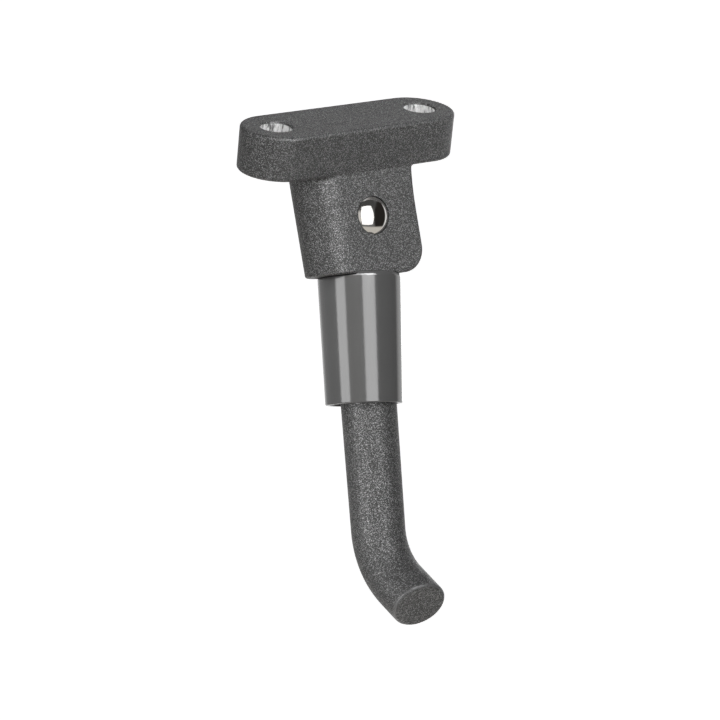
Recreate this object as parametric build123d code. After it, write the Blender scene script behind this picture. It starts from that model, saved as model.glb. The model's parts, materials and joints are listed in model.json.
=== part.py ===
from build123d import *

import os
from math import atan2, cos, degrees, hypot, pi, radians, sin, tan

# Electric scooter kickstand: a die-cast bracket, a cast leg that swings in it on one rivet,
# and a sprung sleeve on the leg that holds the leg out or folded away.
#
# Frame: the origin is the centre of the bracket's flat top, which bolts up under the deck.
# +Z is up out of that face, +X runs along the bracket towards the side that the leg folds to,
# and -Y is the outer side, where the foot points. Sizes are millimetres and degrees.

# Mounting plate
PLATE_LENGTH = 65.8
PLATE_WIDTH = 20.6
PLATE_THICKNESS = 12.0
PLATE_EDGE = 0.9
BOLT_SPACING = 47.3
BOLT_HOLE = 8.4
BOLT_CHAMFER = 0.4

# Where the pivot lies, and how the leg leans when it is out
OUTWARD_LEAN = 24.5
FORWARD_LEAN = 6.5
PIVOT_X = -0.7
PIVOT_DEPTH = 15.1

# Bracket body, seen square to the pivot: across the rivet, to the fold side, to the closed side
BODY_THICKNESS = 16.6
BODY_FOLD_REACH = 14.55
BODY_CLOSED_REACH = 17.2
BODY_FLOOR = 15.15
BODY_CORNER = 6.5
BODY_EDGE = 0.7
BODY_FLARE = 1.4
BODY_ROOT = 1.2

# Rivet
RIVET_SHANK = 6.0
RIVET_HEAD = 9.8
RIVET_DOME = 2.3
RIVET_RIM = 0.75
RIVET_TAIL = 9.0
RIVET_TAIL_HEIGHT = 1.9
RIVET_SEAT_DEPTH = 0.8
RIVET_SEAT_GAP = 0.2
RIVET_FIT = 0.03
PIVOT_FIT = 0.06

# Leg: a flat tongue between the cheeks, a neck for the spring, a round rod and a bent foot
TONGUE_THICKNESS = 8.0
TONGUE_WIDTH = 10.0
TONGUE_GAP = 0.15
STOP_GAP = 0.3
NECK_DIAMETER = 12.2
SHOULDER_DEPTH = 36.4
ROD_TOP_DIAMETER = 15.0
ROD_END_DIAMETER = 14.35
ROD_DEPTH = 82.1
BEND_RADIUS = 19.4
BEND_ANGLE = 49.2
BEND_TURN = 9.0
FOOT_LENGTH = 8.6
FOOT_CUT_DOWN = 3.4
FOOT_CUT_SIDE = 12.5
FOOT_EDGE = 0.8

# Sleeve
SLEEVE_TOP_DIAMETER = 22.1
SLEEVE_END_DIAMETER = 20.4
SLEEVE_END_DEPTH = 49.1
SLEEVE_TILT = 2.6
SLEEVE_EAR = 0.3
SLEEVE_EDGE = 1.5
SLEEVE_BORE = 17.9
SLEEVE_HOLE = 13.6
LEDGE_WALL = 2.8
SEAT_GAP = 0.25
EAR_GAP = 0.15
SWING_GAP = 0.25

# Spring
SPRING_WIRE = 1.3
SPRING_COILS = 6
SPRING_NECK_GAP = 0.25
SPRING_END_GAP = 0.02

# Frames worked out from those: the body leans with the leg, and the leg leans forward in it.
# In both, x runs to the fold side, y points inwards along the rivet and z runs up the leg.
lean = radians(OUTWARD_LEAN)
down_leg = Vector(0, -sin(lean), -cos(lean))
plate_bottom = -PLATE_THICKNESS
# The outer cheek is flush with the plate's outer side where it meets the plate's underside.
body_y = BODY_THICKNESS / 2 / cos(lean) - PLATE_WIDTH / 2
pivot = Vector(PIVOT_X, body_y, plate_bottom) + down_leg * PIVOT_DEPTH
body_frame = Plane(origin=pivot, x_dir=(1, 0, 0), z_dir=-down_leg).location
leg_frame = body_frame * Rot(0, FORWARD_LEAN, 0)

# The rounded corner's farthest point from the pivot, which sweeps over the sleeve's top
TINY = 0.001
forward = radians(FORWARD_LEAN)
corner_x = BODY_FOLD_REACH - BODY_CORNER
corner_z = -((BODY_FLOOR - BODY_CORNER) + corner_x * sin(forward)) / cos(forward)
corner_reach = hypot(corner_x, corner_z) + BODY_CORNER
swing_clear = corner_reach + SWING_GAP
ledge_depth = swing_clear + LEDGE_WALL


def local_box(x_low, x_high, y_low, y_high, z_low, z_high):
    """A box between the given coordinates."""
    size = (x_high - x_low, y_high - y_low, z_high - z_low)
    centre = ((x_low + x_high) / 2, (y_low + y_high) / 2, (z_low + z_high) / 2)
    return Pos(*centre) * Box(*size)


def cross_pin(diameter, y_low, y_high):
    """A round bar along the rivet's line, between two y values."""
    bar = Cylinder(diameter / 2, y_high - y_low, align=(Align.CENTER, Align.CENTER, Align.MIN))
    return Pos(0, y_low, 0) * Rot(-90, 0, 0) * bar


def mounting_plate():
    """The long round-ended plate with softened edges, in the part's own frame."""
    outline = SlotOverall(PLATE_LENGTH, PLATE_WIDTH)
    plate = extrude(outline, -PLATE_THICKNESS)
    rims = plate.edges().group_by(Axis.Z)
    return fillet(rims[0] + rims[-1], PLATE_EDGE)


def body_profile():
    """The body's side view: x to the fold side, y up the leg, with the rounded cam corner."""
    top = PIVOT_DEPTH + PLATE_THICKNESS
    floor_middle = -BODY_FLOOR / cos(forward)
    floor_slope = -tan(forward)
    left, right = -BODY_CLOSED_REACH, BODY_FOLD_REACH
    corner = (right, floor_middle + floor_slope * right)
    outline = Polyline((right + BODY_FLARE, PIVOT_DEPTH), (right + BODY_FLARE, top), (left, top),
                       (left, floor_middle + floor_slope * left), corner, (right, 0))
    outline += TangentArc((right, 0), (right + BODY_FLARE, PIVOT_DEPTH), tangent=(0, 1))
    face = make_face(outline)
    low_right = face.vertices().sort_by_distance((*corner, 0))[0]
    return fillet(low_right, BODY_CORNER)


def bracket_body():
    """The block below the plate: flat cheeks, a half-round closed side and a sloping floor."""
    half = BODY_THICKNESS / 2
    side_view = extrude(Plane.XZ * body_profile(), half, both=True)
    round_x = half - BODY_CLOSED_REACH
    long_height = 2 * (PIVOT_DEPTH + PLATE_THICKNESS)
    plan = local_box(round_x, BODY_FOLD_REACH + BODY_FLARE, -half, half, -long_height, long_height)
    plan += Pos(round_x, 0, 0) * Cylinder(half, 2 * long_height)
    body = side_view & plan
    floor_edges = [e for e in body.edges() if e.center().Z < -BODY_CORNER / 2]
    return fillet(floor_edges, BODY_EDGE)


def tongue_slot():
    """The slot for the tongue: open below and to the fold side, with a stop wall for each end
    of the swing."""
    reach = TONGUE_WIDTH / 2 + STOP_GAP
    far = 2 * corner_reach
    along = Vector(-sin(forward), -cos(forward))
    corner = Vector(-reach * (1 - sin(forward)) / cos(forward), reach)
    low = corner + along * far
    points = [(corner.X, corner.Y), (low.X, low.Y), (far, low.Y), (far, reach)]
    face = make_face(Polyline(*points, close=True))
    inner = face.vertices().sort_by_distance((corner.X, corner.Y, 0))[0]
    face = fillet(inner, reach / 3)
    return extrude(Plane.XZ * face, TONGUE_THICKNESS / 2 + TONGUE_GAP, both=True)


def root_edges(bracket):
    """The corner lines where the body's closed side and fold side meet the plate's underside."""
    under = [e for e in bracket.edges() if abs(e.center().Z - plate_bottom) < TINY]
    near = [e for e in under if abs(e.center().X) < BOLT_SPACING / 2 - BOLT_HOLE / 2]
    return [e for e in near if e.center().Y > body_y - BODY_THICKNESS / 2 + PLATE_EDGE]


def make_bracket():
    """Plate and body in one casting, with its bolt holes, slot and rivet seats."""
    below = local_box(-PLATE_LENGTH, PLATE_LENGTH, -PLATE_LENGTH, PLATE_LENGTH,
                      -4 * PLATE_LENGTH, plate_bottom + PLATE_EDGE)
    body = (body_frame * bracket_body()) & below
    bracket = mounting_plate() + body
    bracket = fillet(root_edges(bracket), BODY_ROOT)

    half = BODY_THICKNESS / 2
    seat = RIVET_HEAD + 2 * RIVET_SEAT_GAP
    tools = tongue_slot()
    tools += cross_pin(RIVET_SHANK + 2 * RIVET_FIT, -2 * half, 2 * half)
    tools += cross_pin(seat, -2 * half, RIVET_SEAT_DEPTH - half)
    tools += cross_pin(seat, half - RIVET_SEAT_DEPTH, 2 * half)
    bracket -= body_frame * tools

    hole = Cylinder(BOLT_HOLE / 2, 3 * PLATE_THICKNESS)
    mouth = Cone(BOLT_HOLE / 2, BOLT_HOLE / 2 + BOLT_CHAMFER, BOLT_CHAMFER,
                 align=(Align.CENTER, Align.CENTER, Align.MAX))
    for x in (-BOLT_SPACING / 2, BOLT_SPACING / 2):
        bracket -= Pos(x, 0, 0) * (hole + mouth)
        bracket -= Pos(x, 0, plate_bottom) * Rot(180, 0, 0) * mouth
    return bracket


def make_rivet():
    """Domed head outside, plain shank, and a flattened tail on the inner side."""
    seat = BODY_THICKNESS / 2 - RIVET_SEAT_DEPTH
    head = RIVET_HEAD / 2
    dome_radius = (head ** 2 + RIVET_DOME ** 2) / (2 * RIVET_DOME)
    dome_top = seat + RIVET_RIM + RIVET_DOME
    dome_mid_angle = degrees(atan2(head, dome_radius - RIVET_DOME)) / 2
    dome_mid = (dome_radius * sin(radians(dome_mid_angle)),
                dome_top - dome_radius * (1 - cos(radians(dome_mid_angle))))
    shank = RIVET_SHANK / 2
    tail = RIVET_TAIL / 2
    tail_end = -seat - RIVET_TAIL_HEIGHT
    tail_flat = tail * 0.7

    outline = Polyline((0, dome_top), (0, tail_end), (tail_flat, tail_end))
    outline += ThreePointArc((tail_flat, tail_end), (tail * 0.95, tail_end + RIVET_TAIL_HEIGHT * 0.4),
                             (tail, -seat))
    outline += Polyline((tail, -seat), (shank, -seat), (shank, seat), (head, seat),
                        (head, seat + RIVET_RIM))
    outline += ThreePointArc((head, seat + RIVET_RIM), dome_mid, (0, dome_top))
    section = make_face(outline)
    turned = revolve(Plane.XZ * section, Axis.Z)
    return body_frame * Rot(90, 0, 0) * turned


def make_leg():
    """Tongue, neck, rod and bent foot in one casting, in the leg's frame."""
    neck_top = -swing_clear
    tongue = local_box(-TONGUE_WIDTH / 2, TONGUE_WIDTH / 2, -TONGUE_THICKNESS / 2,
                       TONGUE_THICKNESS / 2, neck_top - TONGUE_THICKNESS / 4, 0)
    tongue += cross_pin(TONGUE_WIDTH, -TONGUE_THICKNESS / 2, TONGUE_THICKNESS / 2)

    neck = NECK_DIAMETER / 2
    top = ROD_TOP_DIAMETER / 2
    end = ROD_END_DIAMETER / 2
    points = [(0, neck_top), (neck, neck_top), (neck, -SHOULDER_DEPTH), (top, -SHOULDER_DEPTH),
              (end, -ROD_DEPTH), (0, -ROD_DEPTH)]
    rod = revolve(Plane.XZ * make_face(Polyline(*points, close=True)), Axis.Z)

    leg = tongue + rod + Pos(0, 0, -ROD_DEPTH) * Rot(0, 0, BEND_TURN) * bent_foot()
    leg -= cross_pin(RIVET_SHANK + 2 * PIVOT_FIT, -TONGUE_THICKNESS, TONGUE_THICKNESS)
    return leg_frame * leg


def bent_foot():
    """The bend and the foot, from the end of the rod, bending towards -y."""
    radius = ROD_END_DIAMETER / 2
    bend_axis = Axis((0, -BEND_RADIUS, 0), (-1, 0, 0))
    section = Circle(radius)
    bend = revolve(section, bend_axis, BEND_ANGLE)
    angle = radians(BEND_ANGLE)
    start = Vector(0, -BEND_RADIUS * (1 - cos(angle)), -BEND_RADIUS * sin(angle))
    ahead = Vector(0, -sin(angle), -cos(angle))
    foot_frame = Plane(origin=start, x_dir=(1, 0, 0), z_dir=ahead).location
    stub = Cylinder(radius, 2 * FOOT_LENGTH, align=(Align.CENTER, Align.CENTER, Align.MIN))
    # The end is cut a little off square, so the face looks outwards and slightly forwards.
    cut_frame = Pos(0, 0, FOOT_LENGTH) * Rot(FOOT_CUT_DOWN, -FOOT_CUT_SIDE, 0)
    cutter = cut_frame * Pos(0, 0, 2 * FOOT_LENGTH) * Box(*[4 * FOOT_LENGTH] * 3)
    stub -= cutter
    tip_edge = stub.edges().filter_by(GeomType.ELLIPSE)
    stub = fillet(tip_edge, FOOT_EDGE)
    return bend + foot_frame * stub


def make_sleeve():
    """A tapered tube with an inner ledge for the spring. Its top is cut to sit under the body,
    with an ear beside each cheek and room for the cam corner to sweep across."""
    top = SLEEVE_TOP_DIAMETER / 2
    end = SLEEVE_END_DIAMETER / 2
    ear_top = -BODY_FLOOR + SLEEVE_EAR
    length = SLEEVE_END_DEPTH + ear_top
    over = PLATE_EDGE * 2
    slope = (top - end) / length
    edge = SLEEVE_EDGE
    arc_mid = (top - edge * (1 - cos(pi / 4)), -edge * (1 - sin(pi / 4)))
    outline = Polyline((0, 0), (top - edge, 0))
    outline += ThreePointArc((top - edge, 0), arc_mid, (top, -edge))
    outline += Polyline((top, -edge), (end - slope * over, -length - over),
                        (0, -length - over), (0, 0))
    shell = revolve(Plane.XZ * make_face(outline), Axis.Z)

    shell -= Cylinder(SLEEVE_HOLE / 2, 4 * length)
    tilted = Pos(0, 0, ear_top) * Rot(0, SLEEVE_TILT, 0)
    bore = Cylinder(SLEEVE_BORE / 2, 2 * length, align=(Align.CENTER, Align.CENTER, Align.MAX))

    wide = 2 * SLEEVE_TOP_DIAMETER
    below_ledge = local_box(-wide, wide, -wide, wide, -4 * length, -ledge_depth)
    sleeve = tilted * shell - (tilted * bore & below_ledge)
    channel = BODY_THICKNESS / 2 + EAR_GAP
    sleeve -= local_box(-wide, wide, -channel, channel, -BODY_FLOOR - SEAT_GAP, wide)
    sleeve -= cross_pin(2 * swing_clear, -channel, channel)
    sleeve -= local_box(-wide, wide, -wide, wide, -SLEEVE_END_DEPTH - wide, -SLEEVE_END_DEPTH)
    return leg_frame * sleeve


def make_spring():
    """An open coil spring with ground ends, between the sleeve's ledge and the leg's shoulder."""
    top = -ledge_depth - SPRING_END_GAP
    bottom = -SHOULDER_DEPTH + SPRING_END_GAP
    height = top - bottom
    radius = NECK_DIAMETER / 2 + SPRING_NECK_GAP + SPRING_WIRE / 2
    pitch = height / SPRING_COILS
    path = Helix(pitch, height, radius)
    start = Plane(origin=path @ 0, z_dir=path % 0)
    wire = sweep(start * Circle(SPRING_WIRE / 2), path, is_frenet=True)
    wide = 4 * radius
    keep = local_box(-wide, wide, -wide, wide, 0, height)
    return leg_frame * Pos(0, 0, bottom) * (wire & keep)


nodes = {
    "bracket": make_bracket(),
    "pivot_rivet": make_rivet(),
    "leg": make_leg(),
    "sleeve": make_sleeve(),
    "spring": make_spring(),
}

os.makedirs("parts", exist_ok=True)
for name, shape in nodes.items():
    export_step(shape, f"parts/{name}.step")
    print(name, "volume", round(shape.volume), "valid", shape.is_valid)
print("pivot", round(pivot.X, 3), round(pivot.Y, 3), round(pivot.Z, 3), "reach", round(corner_reach, 2))
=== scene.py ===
import json
from math import cos, radians, sin

import bmesh
import bpy
from mathutils import Matrix, Vector


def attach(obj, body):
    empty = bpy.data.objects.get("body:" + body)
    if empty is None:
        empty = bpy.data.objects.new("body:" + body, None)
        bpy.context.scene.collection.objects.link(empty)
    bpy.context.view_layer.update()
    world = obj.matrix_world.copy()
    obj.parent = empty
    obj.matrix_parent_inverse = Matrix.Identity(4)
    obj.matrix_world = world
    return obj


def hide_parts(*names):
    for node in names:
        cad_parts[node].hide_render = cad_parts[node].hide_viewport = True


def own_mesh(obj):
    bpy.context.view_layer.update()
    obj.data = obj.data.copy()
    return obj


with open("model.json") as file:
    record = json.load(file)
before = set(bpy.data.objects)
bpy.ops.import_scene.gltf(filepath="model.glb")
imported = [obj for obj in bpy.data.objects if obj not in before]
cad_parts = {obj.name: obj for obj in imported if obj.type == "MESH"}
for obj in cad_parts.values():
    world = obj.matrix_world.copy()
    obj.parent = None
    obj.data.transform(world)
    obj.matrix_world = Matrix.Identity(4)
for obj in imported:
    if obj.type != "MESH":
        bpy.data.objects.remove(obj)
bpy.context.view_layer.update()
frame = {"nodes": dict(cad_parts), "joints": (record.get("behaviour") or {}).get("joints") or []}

# The looks of an electric scooter kickstand: powder-coated castings, a satin moulded sleeve with
# the shallow seat that the body rests in, a bright rivet, and bare metal in the bolt holes.
# Everything is in metres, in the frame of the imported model.

MM = 0.001

# The stand's sizes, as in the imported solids, where only the sleeve's ears are half as high.
# Floors, ends, ledges and the spring's top and bottom are depths down the leg from the pivot.
LEAN = radians(24.5)
FORWARD = radians(6.5)
PIVOT = Vector(frame["joints"][0]["pos_m"])
BODY_HALF = 8.3 * MM
BODY_FLOOR = 15.15 * MM
SLEEVE_TOP_R = 11.05 * MM
SLEEVE_END_R = 10.2 * MM
SLEEVE_END = 49.1 * MM
SLEEVE_TILT = radians(2.6)
SLEEVE_EAR = 0.6 * MM
SLEEVE_EDGE = 1.5 * MM
SLEEVE_BORE_R = 8.95 * MM
SLEEVE_HOLE_R = 6.8 * MM
SLEEVE_LEDGE = 22.1 * MM
SEAT_GAP = 0.25 * MM
EAR_GAP = 0.15 * MM
SPRING_TOP = 22.12 * MM
SPRING_BOTTOM = 36.38 * MM
SPRING_R = 7.0 * MM
SPRING_WIRE_R = 0.65 * MM
SPRING_COILS = 6
BOLT_X = 23.65 * MM
BOLT_R = 4.2 * MM
FOOT_END = Vector((-10.416, -61.590, -113.122)) * MM
FOOT_NORMAL = Vector((-0.18066, -0.93541, -0.30391))


def frame_at(place, *axes):
    """The matrix that puts an origin at a place, and turns x, y and z to the given axes."""
    return Matrix.Translation(place) @ Matrix(axes).transposed().to_4x4()


# x to the fold side, y inwards along the rivet, z up the leg, with the pivot at the origin
x_axis = Vector((cos(FORWARD), sin(FORWARD) * -sin(LEAN), sin(FORWARD) * -cos(LEAN)))
y_axis = Vector((0, cos(LEAN), -sin(LEAN)))
z_axis = x_axis.cross(y_axis)
LEG_FRAME = frame_at(PIVOT, x_axis, y_axis, z_axis)

# The camera of the photograph, as fitted to the object's outline
CAMERA_TARGET = Vector((0, 0, -65 * MM))
CAMERA_DISTANCE = 850 * MM
CAMERA_LEFT = radians(38.74)
CAMERA_UP = radians(21.05)
CAMERA_ROLL = radians(5.515)
SENSOR_WIDTH = 36                    # in Blender's own unit for it, the millimetre
PIXELS_PER_METRE = 3704
TARGET_PIXEL = (326.82, 346.96)
FRAME_PIXELS = 720

LIGHT_DISTANCE = 600 * MM
BOX_SIZE = 350 * MM
FLOOR_HEIGHT = -0.42
FLOOR_REACH = 6.0
BACKDROP_RADIUS = 5.0

WHITE = (1.0, 1.0, 1.0)
FLAKE_GREY = (0.34, 0.34, 0.342)
RUBBED_GREY = (0.075, 0.075, 0.076)
RUBBED_ROUGHNESS = (0.24, 0.24, 0.24)


# Helpers for the materials' nodes

def new_material(name):
    """A new material, its emptied node tree, and the tree's new output node."""
    material = bpy.data.materials.new(name)
    material.use_nodes = True
    tree = material.node_tree
    tree.nodes.clear()
    return material, tree, tree.nodes.new("ShaderNodeOutputMaterial")


def add(tree, kind, **settings):
    """A new node with some of its properties set."""
    node = tree.nodes.new(kind)
    for name, value in settings.items():
        setattr(node, name, value)
    return node


def feed(tree, socket, value):
    """Gives an input a number or a colour, or links it to another node's output."""
    if isinstance(value, (int, float)):
        socket.default_value = value
    elif isinstance(value, tuple):
        socket.default_value = (*value, 1)
    else:
        tree.links.new(value, socket)


def object_place(tree):
    """The point's own coordinates on the object, in metres."""
    return add(tree, "ShaderNodeTexCoord").outputs["Object"]


def noise(tree, place, scale, detail=2.0, roughness=0.5):
    """Grey noise with the given number of lumps to the metre."""
    node = add(tree, "ShaderNodeTexNoise")
    node.inputs["Scale"].default_value = scale
    node.inputs["Detail"].default_value = detail
    node.inputs["Roughness"].default_value = roughness
    tree.links.new(place, node.inputs["Vector"])
    return node.outputs["Fac"]


def cells(tree, place, scale):
    """Small cells, so many to the metre, and the red and green of each one's random colour."""
    node = add(tree, "ShaderNodeTexVoronoi")
    node.inputs["Scale"].default_value = scale
    tree.links.new(place, node.inputs["Vector"])
    split = add(tree, "ShaderNodeSeparateColor")
    tree.links.new(node.outputs["Color"], split.inputs["Color"])
    return split.outputs["Red"], split.outputs["Green"]


def ramp(tree, value, stops):
    """A colour ramp from (position, grey or colour) stops."""
    node = add(tree, "ShaderNodeValToRGB")
    elements = node.color_ramp.elements
    while len(elements) < len(stops):
        elements.new(0.5)
    for element, (position, colour) in zip(elements, stops):
        element.position = position
        grey = (colour, colour, colour) if isinstance(colour, float) else colour
        element.color = (*grey, 1)
    tree.links.new(value, node.inputs["Fac"])
    return node.outputs["Color"]


def maths(tree, operation, *values):
    """A maths node of one or two inputs, each a socket or a number."""
    node = add(tree, "ShaderNodeMath", operation=operation)
    for socket, value in zip(node.inputs, values):
        feed(tree, socket, value)
    return node.outputs[0]


def dot(tree, vector, direction):
    """The dot product of a vector's socket and a fixed direction."""
    node = add(tree, "ShaderNodeVectorMath", operation="DOT_PRODUCT")
    tree.links.new(vector, node.inputs[0])
    node.inputs[1].default_value = direction
    return node.outputs["Value"]


def fade(tree, value, at_zero, at_one):
    """Goes smoothly from 0, where the value is the first number, to 1, where it is the second."""
    node = add(tree, "ShaderNodeMapRange", interpolation_type="SMOOTHSTEP")
    node.inputs["From Min"].default_value = at_zero
    node.inputs["From Max"].default_value = at_one
    tree.links.new(value, node.inputs["Value"])
    return node.outputs["Result"]


def blend_colours(tree, factor, first, second, mode="MIX"):
    """A mix of two colours, each a socket or a colour."""
    node = add(tree, "ShaderNodeMix", data_type="RGBA", blend_type=mode)
    sockets = (node.inputs["Factor"], node.inputs[6], node.inputs[7])
    for socket, value in zip(sockets, (factor, first, second)):
        feed(tree, socket, value)
    return node.outputs[2]


def bump(tree, height, strength, distance, base=None):
    """A bump node over an optional earlier normal."""
    node = add(tree, "ShaderNodeBump")
    node.inputs["Strength"].default_value = strength
    node.inputs["Distance"].default_value = distance
    tree.links.new(height, node.inputs["Height"])
    if base is not None:
        tree.links.new(base, node.inputs["Normal"])
    return node.outputs["Normal"]


def principled(tree, inputs):
    """A Principled shader with some of its inputs given by name, as numbers, colours or sockets."""
    node = add(tree, "ShaderNodeBsdfPrincipled")
    for name, value in inputs.items():
        feed(tree, node.inputs[name], value)
    return node.outputs[0]


# The materials

def powder_coat():
    """Dark grey powder coat with fine bright flakes, and bare drilled metal in the bolt holes."""
    material, tree, output = new_material("powder_coat")
    place = object_place(tree)
    relief = 0.12 * MM

    cell_red, cell_green = cells(tree, place, 6600)
    flake = ramp(tree, cell_red, [(0.0, 0.0), (0.7, 0.0), (0.88, 0.6), (1.0, 1.0)])
    grain = noise(tree, place, 2800, detail=3.0, roughness=0.75)
    cloud = noise(tree, place, 90, detail=3.0)
    base = ramp(tree, grain, [(0.34, 0.009), (0.5, 0.0175), (0.66, 0.030)])
    cloudy = ramp(tree, cloud, [(0.3, 0.9), (0.7, 1.1)])
    base = blend_colours(tree, 1.0, base, cloudy, "MULTIPLY")
    colour = blend_colours(tree, flake, base, FLAKE_GREY)
    rough = ramp(tree, flake, [(0.0, 0.55), (1.0, 0.38)])

    rim = foot_rim_mask(tree, place)
    normal = bump(tree, grain, 0.5, relief)
    coat = principled(tree, {
        "Base Color": blend_colours(tree, rim, colour, RUBBED_GREY),
        "Roughness": blend_colours(tree, rim, rough, RUBBED_ROUGHNESS),
        "Metallic": flake,
        "Normal": bump(tree, cell_green, 0.8, relief, normal),
    })

    mix = add(tree, "ShaderNodeMixShader")
    tree.links.new(bolt_hole_mask(tree, place), mix.inputs["Fac"])
    tree.links.new(coat, mix.inputs[1])
    tree.links.new(bare_metal(tree, place), mix.inputs[2])
    tree.links.new(mix.outputs[0], output.inputs["Surface"])
    return material


def bare_metal(tree, place):
    """Rough bright metal with vertical tool marks, as drilled."""
    stretch = add(tree, "ShaderNodeMapping")
    stretch.inputs["Scale"].default_value = (1.0, 1.0, 0.25)
    tree.links.new(place, stretch.inputs["Vector"])
    marks = noise(tree, stretch.outputs["Vector"], 1300, detail=3.0, roughness=0.65)
    return principled(tree, {
        "Base Color": ramp(tree, marks, [(0.38, 0.2), (0.48, 0.75), (0.56, 1.0)]),
        "Metallic": 0.75,
        "Roughness": 0.42,
        "Normal": bump(tree, marks, 0.8, 0.3 * MM),
    })


def bolt_hole_mask(tree, place):
    """1 on the walls of the two bolt holes, below their painted mouths, and 0 elsewhere."""
    margin, painted = 0.06 * MM, 0.45 * MM
    split = add(tree, "ShaderNodeSeparateXYZ")
    tree.links.new(place, split.inputs[0])
    along = maths(tree, "SUBTRACT", maths(tree, "ABSOLUTE", split.outputs["X"]), BOLT_X)
    squares = [maths(tree, "POWER", maths(tree, "ABSOLUTE", offset), 2.0)
               for offset in (along, split.outputs["Y"])]
    near = maths(tree, "LESS_THAN", maths(tree, "ADD", *squares), (BOLT_R + margin) ** 2)
    low = maths(tree, "LESS_THAN", split.outputs["Z"], -painted)
    return maths(tree, "MULTIPLY", near, low)


def foot_rim_mask(tree, place):
    """1 on the rounded rim of the foot's flat end, where the coat is thin and rubbed smooth."""
    offset = add(tree, "ShaderNodeVectorMath", operation="SUBTRACT")
    tree.links.new(place, offset.inputs[0])
    offset.inputs[1].default_value = FOOT_END
    beyond_end = dot(tree, offset.outputs["Vector"], FOOT_NORMAL)
    last_millimetre = maths(tree, "ADD", maths(tree, "MULTIPLY", beyond_end, 1 / MM), 1.0)
    return ramp(tree, last_millimetre, [(0.1, 0.0), (0.35, 1.0), (0.85, 1.0), (0.98, 0.0)])


def moulded_plastic():
    """Smooth grey moulded plastic with a soft gloss, a trace of cloud and a very fine grain."""
    material, tree, output = new_material("moulded_plastic")
    place = object_place(tree)
    cloud = noise(tree, place, 60)
    fine = noise(tree, place, 900)
    shader = principled(tree, {
        "Base Color": ramp(tree, cloud, [(0.3, 0.050), (0.7, 0.054)]),
        "Roughness": ramp(tree, fine, [(0.3, 0.13), (0.7, 0.17)]),
        "Specular IOR Level": 0.9,
        "Normal": bump(tree, fine, 0.08, 0.05 * MM),
    })
    tree.links.new(shader, output.inputs["Surface"])
    return material


def polished_steel(name, colour, roughness):
    """Bright metal, a little uneven in tint and gloss."""
    material, tree, output = new_material(name)
    fine = noise(tree, object_place(tree), 700, detail=3.0)
    darker = tuple(0.94 * channel for channel in colour)
    shader = principled(tree, {
        "Base Color": ramp(tree, fine, [(0.3, darker), (0.7, colour)]),
        "Metallic": 1.0,
        "Roughness": ramp(tree, fine, [(0.3, roughness * 0.7), (0.7, roughness * 1.3)]),
        "Normal": bump(tree, fine, 0.05, 0.05 * MM),
    })
    tree.links.new(shader, output.inputs["Surface"])
    return material


# The two pieces that replace their solids

def scene_object(name, data):
    """A new object of that mesh, lamp or camera, in the scene."""
    thing = bpy.data.objects.new(name, data)
    bpy.context.scene.collection.objects.link(thing)
    return thing


def object_from(name, model):
    """A new object of the shape that a bmesh holds, which is freed."""
    mesh = bpy.data.meshes.new(name)
    model.to_mesh(mesh)
    model.free()
    return scene_object(name, mesh)


def smooth(thing, sharp_angle):
    """Smooth shading, apart from the edges that turn by more than the angle."""
    thing.data.polygons.foreach_set("use_smooth", [True] * len(thing.data.polygons))
    thing.data.set_sharp_from_angle(angle=sharp_angle)


def lathe(name, profile, steps=192):
    """A closed solid turned about the z axis from a closed outline of (radius, z) points."""
    model = bmesh.new()
    rings = []
    for step in range(steps):
        turn = Matrix.Rotation(radians(360) * step / steps, 4, "Z")
        rings.append([model.verts.new(turn @ Vector((r, 0, z))) for r, z in profile])
    count = len(profile)
    for step in range(steps):
        here, there = rings[step], rings[(step + 1) % steps]
        for i in range(count):
            j = (i + 1) % count
            model.faces.new((here[i], there[i], there[j], here[j]))
    bmesh.ops.recalc_face_normals(model, faces=model.faces)
    return object_from(name, model)


def block(name, low, high):
    """A plain cutter block between two corners."""
    model = bmesh.new()
    bmesh.ops.create_cube(model, size=1.0)
    size = [b - a for a, b in zip(low, high)]
    middle = [(a + b) / 2 for a, b in zip(low, high)]
    bmesh.ops.scale(model, vec=size, verts=model.verts)
    bmesh.ops.translate(model, vec=middle, verts=model.verts)
    return object_from(name, model)


def cut(thing, cutter):
    """Takes the cutter out of the thing, for good."""
    modifier = thing.modifiers.new("cut", "BOOLEAN")
    modifier.operation = "DIFFERENCE"
    modifier.solver = "EXACT"
    modifier.object = cutter
    depsgraph = bpy.context.evaluated_depsgraph_get()
    mesh = bpy.data.meshes.new_from_object(thing.evaluated_get(depsgraph))
    thing.modifiers.clear()
    thing.data = mesh
    bpy.data.objects.remove(cutter)


def arc_points(centre, radius, start, end, steps):
    """Points of an arc in the (radius, z) plane, angles in degrees."""
    points = []
    for i in range(steps + 1):
        angle = radians(start + (end - start) * i / steps)
        points.append((centre[0] + radius * cos(angle), centre[1] + radius * sin(angle)))
    return points


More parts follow.
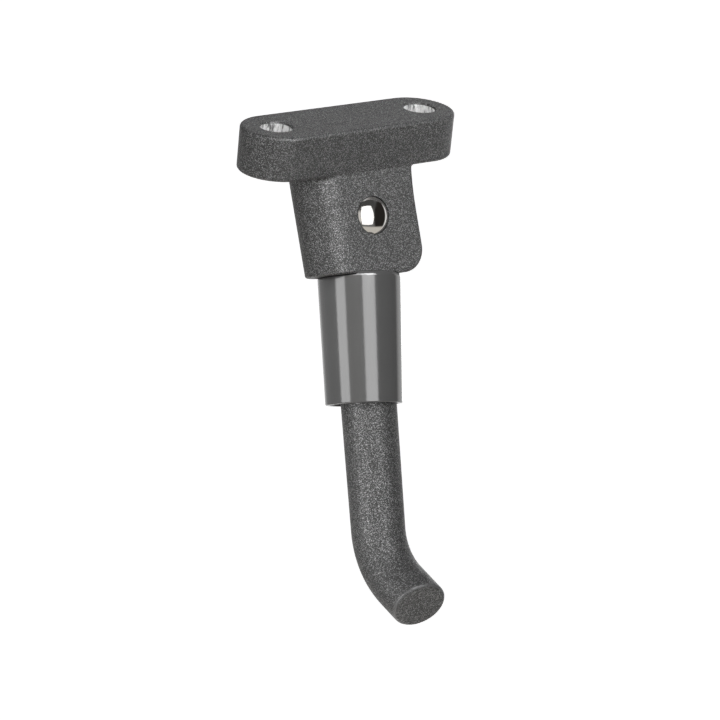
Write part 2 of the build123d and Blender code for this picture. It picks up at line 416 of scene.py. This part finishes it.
def visual_sleeve():
    """The moulded sleeve with its shallow seat, flat across with a low ear beside each cheek,
    where the solid has a deeper hollow for the swing. Its edges are softened, and its bore has
    a ledge for the spring."""
    length = SLEEVE_END - BODY_FLOOR + SLEEVE_EAR
    ledge = -(SLEEVE_LEDGE - BODY_FLOOR + SLEEVE_EAR)
    outer_lip, inner_lip = 0.35 * MM, 0.4 * MM
    outline = arc_points((SLEEVE_TOP_R - SLEEVE_EDGE, -SLEEVE_EDGE), SLEEVE_EDGE, 90, 0, 8)
    outline += arc_points((SLEEVE_END_R - outer_lip, -length + outer_lip), outer_lip, 0, -90, 4)
    outline += arc_points((SLEEVE_BORE_R + inner_lip, -length + inner_lip), inner_lip,
                          -90, -180, 3)
    outline += [(SLEEVE_BORE_R, ledge), (SLEEVE_HOLE_R, ledge), (SLEEVE_HOLE_R, 0)]
    sleeve = lathe("sleeve_moulding", outline)
    ears_top = Matrix.Translation((0, 0, -BODY_FLOOR + SLEEVE_EAR))
    sleeve.data.transform(ears_top @ Matrix.Rotation(SLEEVE_TILT, 4, "Y"))

    reach = 30 * MM
    channel = BODY_HALF + EAR_GAP
    seat = -BODY_FLOOR - SEAT_GAP
    cut(sleeve, block("seat_cutter", (-reach, -channel, seat), (reach, channel, reach)))
    sleeve.data.transform(LEG_FRAME)
    smooth(sleeve, radians(30))
    return sleeve


def visual_spring():
    """The coil spring, its ends ground flat."""
    steps_round, sides = 48, 12
    steps = SPRING_COILS * steps_round
    model = bmesh.new()
    rings = []
    for step in range(steps + 1):
        middle = -SPRING_BOTTOM + (SPRING_BOTTOM - SPRING_TOP) * step / steps
        turn = Matrix.Rotation(radians(360) * step / steps_round, 4, "Z")
        ring = []
        for side in range(sides):
            angle = radians(360) * side / sides
            height = middle + SPRING_WIRE_R * sin(angle)
            height = min(max(height, -SPRING_BOTTOM), -SPRING_TOP)
            point = Vector((SPRING_R + SPRING_WIRE_R * cos(angle), 0, height))
            ring.append(model.verts.new(turn @ point))
        rings.append(ring)
    for here, there in zip(rings, rings[1:]):
        for side in range(sides):
            after = (side + 1) % sides
            model.faces.new((here[side], here[after], there[after], there[side]))
    model.faces.new(rings[0])
    model.faces.new(rings[-1])
    bmesh.ops.recalc_face_normals(model, faces=model.faces)
    spring = object_from("spring_coil", model)
    spring.data.transform(LEG_FRAME)
    smooth(spring, radians(40))
    return spring


# The camera

def camera_axes():
    """The camera's right, up and backward directions."""
    left, up = CAMERA_LEFT, CAMERA_UP
    back = Vector((-sin(left) * cos(up), -cos(left) * cos(up), sin(up)))
    level_right = Vector((cos(left), -sin(left), 0))
    level_up = back.cross(level_right)
    right = level_right * cos(CAMERA_ROLL) + level_up * sin(CAMERA_ROLL)
    return right, back.cross(right), back


def make_camera():
    """The camera at the photograph's angle, with its framing by a small shift."""
    right, up, back = camera_axes()
    focal_pixels = PIXELS_PER_METRE * CAMERA_DISTANCE
    data = bpy.data.cameras.new("camera")
    data.sensor_width = SENSOR_WIDTH
    data.lens = SENSOR_WIDTH * focal_pixels / FRAME_PIXELS
    data.shift_x = (FRAME_PIXELS / 2 - TARGET_PIXEL[0]) / FRAME_PIXELS
    data.shift_y = (TARGET_PIXEL[1] - FRAME_PIXELS / 2) / FRAME_PIXELS
    data.clip_start = 0.05
    data.clip_end = 50
    camera = scene_object("camera", data)
    camera.matrix_world = frame_at(CAMERA_TARGET + back * CAMERA_DISTANCE, right, up, back)
    bpy.context.scene.camera = camera


# The studio

def round_the_leg(angle):
    """The camera's backward direction, turned about the leg by an angle in degrees."""
    back = camera_axes()[2]
    return Matrix.Rotation(radians(angle), 3, z_axis) @ back


def area_light(name, pieces, place, target, size, radiance, up):
    """A soft box at a place, facing a target, its height along the given up direction, which
    falls on the given pieces alone."""
    width, height = size
    data = bpy.data.lights.new(name, "AREA")
    data.shape = "RECTANGLE"
    data.size = width
    data.size_y = height
    data.energy = radiance * radians(180) * width * height
    light = scene_object(name, data)
    light.visible_camera = False
    back = (place - target).normalized()
    side = up.cross(back).normalized()
    light.matrix_world = frame_at(place, side, back.cross(side), back)
    group = bpy.data.collections.new(name + "_group")
    for piece in pieces:
        group.objects.link(piece)
    light.light_linking.receiver_collection = group


def leg_light(name, pieces, angle, lift, size, radiance):
    """A soft box turned about the leg from the camera's direction, and lifted along the leg."""
    target = CAMERA_TARGET + z_axis * lift
    place = CAMERA_TARGET + round_the_leg(angle) * LIGHT_DISTANCE + z_axis * lift
    area_light(name, pieces, place, target, size, radiance, z_axis)


def box_light(name, pieces, offset, radiance):
    """A square soft box at an offset from the middle of the object."""
    size = (BOX_SIZE, BOX_SIZE)
    place = CAMERA_TARGET + Vector(offset)
    area_light(name, pieces, place, CAMERA_TARGET, size, radiance, Vector((0, 0, 1)))


def make_lights(sleeve, spring):
    """Tall boxes that band the sleeve and the leg, and square boxes above and behind."""
    bracket, leg, rivet = (frame["nodes"][name] for name in ("bracket", "leg", "pivot_rivet"))
    all_but_rivet = (bracket, leg, sleeve, spring)
    left, right = -53, 25                # degrees to the sleeve's two bright bands

    leg_light("left_on_bracket", [bracket], left, lift=-0.01, size=(0.30, 0.27), radiance=2.6)
    leg_light("left_on_leg", [leg], left, lift=-0.01, size=(0.30, 0.27), radiance=3.9)
    leg_light("left_on_sleeve", [sleeve], left, lift=0.07, size=(0.30, 0.45), radiance=3.9)
    leg_light("right_on_castings", [bracket, leg, spring], right,
              lift=0.19, size=(0.40, 0.75), radiance=3.9)
    leg_light("right_on_sleeve", [sleeve], right, lift=0.19, size=(0.36, 0.75), radiance=4.0)
    leg_light("sparkle_on_bracket", [bracket], 72, lift=0.025, size=(0.20, 0.20), radiance=2.2)
    leg_light("window_on_rivet", [rivet], 16, lift=0.12, size=(0.64, 1.16), radiance=1.35)
    leg_light("fill_left_on_leg", [leg], -42, lift=-0.13, size=(0.34, 0.60), radiance=3.7)
    leg_light("fill_right_on_leg", [leg], 58, lift=-0.08, size=(0.34, 0.60), radiance=0.8)
    box_light("upper_left", all_but_rivet, (-0.30, -0.30, 0.60), radiance=5.0)
    box_light("upper_front", (bracket, sleeve, spring), (0.02, -0.42, 0.58), radiance=8.7)
    box_light("low_back", all_but_rivet, (0.50, 0.45, -0.10), radiance=1.8)


def make_surround():
    """The air of the studio, which lights the object from everywhere and shows in its gloss."""
    world = bpy.data.worlds.new("surround")
    world.use_nodes = True
    tree = world.node_tree
    tree.nodes.clear()
    output = tree.nodes.new("ShaderNodeOutputWorld")
    shader = tree.nodes.new("ShaderNodeBackground")
    direction = add(tree, "ShaderNodeTexCoord").outputs["Generated"]

    def toward(centre, near, far):
        """1 within the near angle of a direction, fading to 0 at the far angle."""
        closeness = dot(tree, direction, centre.normalized())
        return fade(tree, closeness, cos(radians(far)), cos(radians(near)))

    def beside_leg(near, far):
        """1 within the near angle of square to the leg, fading to 0 at the far angle."""
        slope = maths(tree, "ABSOLUTE", dot(tree, direction, z_axis))
        return fade(tree, slope, sin(radians(far)), sin(radians(near)))

    # Patches over the grey air, each over the ones before it, with angles in degrees
    sky = Vector((0, 0, 1))
    left_band = maths(tree, "MULTIPLY", toward(round_the_leg(-108), 36, 48), beside_leg(8, 18))
    patches = [
        (toward(round_the_leg(-20), near=14, far=34), (0.6, 0.59, 0.57)),      # pale in front
        (left_band, (0.6, 0.6, 0.6)),                                          # pale at the left
        (toward(round_the_leg(98), near=44, far=56), (0.02, 0.018, 0.016)),    # dark at the right
        (toward(sky, near=30, far=50), (0.06, 0.06, 0.06)),                    # dark overhead
        (toward(-sky, near=58, far=66), (0.55, 0.53, 0.49)),                   # warm table
        (toward(-sky, near=14, far=34), (2.4, 2.35, 2.3)),                     # bright below
        (toward(round_the_leg(168), near=38, far=54), WHITE),                  # white behind
    ]
    colour = (0.15, 0.15, 0.15)
    for mask, patch_colour in patches:
        colour = blend_colours(tree, mask, colour, patch_colour)
    tree.links.new(colour, shader.inputs["Color"])
    tree.links.new(shader.outputs[0], output.inputs["Surface"])
    bpy.context.scene.world = world


def make_backdrop():
    """A plain white shell far round the object, which only the camera sees."""
    material, tree, output = new_material("backdrop_white")
    shader = add(tree, "ShaderNodeEmission")
    feed(tree, shader.inputs["Color"], WHITE)
    tree.links.new(shader.outputs[0], output.inputs["Surface"])
    model = bmesh.new()
    bmesh.ops.create_icosphere(model, subdivisions=4, radius=BACKDROP_RADIUS)
    backdrop = object_from("backdrop", model)
    backdrop.data.materials.append(material)
    backdrop.visible_diffuse = False
    backdrop.visible_glossy = False
    backdrop.visible_shadow = False


def make_floor():
    """A pale floor that glows enough to be white, and throws no light on the object."""
    material, tree, output = new_material("floor_white")
    shader = principled(tree, {
        "Base Color": (0.86, 0.86, 0.86),
        "Roughness": 0.9,
        "Emission Color": WHITE,
        "Emission Strength": 0.95,
    })
    tree.links.new(shader, output.inputs["Surface"])
    mesh = bpy.data.meshes.new("floor")
    signs = ((-1, -1), (1, -1), (1, 1), (-1, 1))
    corners = [(x * FLOOR_REACH, y * FLOOR_REACH, FLOOR_HEIGHT) for x, y in signs]
    mesh.from_pydata(corners, [], [(0, 1, 2, 3)])
    floor = scene_object("floor", mesh)
    floor.data.materials.append(material)
    floor.visible_diffuse = False
    floor.visible_glossy = False


coat = powder_coat()
plastic = moulded_plastic()
chrome = polished_steel("rivet_chrome", (0.86, 0.84, 0.81), roughness=0.08)
spring_steel = polished_steel("spring_steel", (0.62, 0.62, 0.63), roughness=0.28)

NODE_MATERIALS = {"bracket": coat, "leg": coat, "pivot_rivet": chrome}
for node, material in NODE_MATERIALS.items():
    for material_slot in frame["nodes"][node].material_slots:
        material_slot.material = material

sleeve = visual_sleeve()
sleeve.data.materials.append(plastic)
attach(sleeve, "sleeve")
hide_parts("sleeve")

# The spring stands on the leg's shoulder, under the sleeve's ledge, and goes with the leg
spring = visual_spring()
spring.data.materials.append(spring_steel)
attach(spring, "leg")
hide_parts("spring")
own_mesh(spring)

make_camera()
make_floor()
make_backdrop()
make_surround()
make_lights(sleeve, spring)
bpy.context.scene.view_settings.view_transform = "Standard"
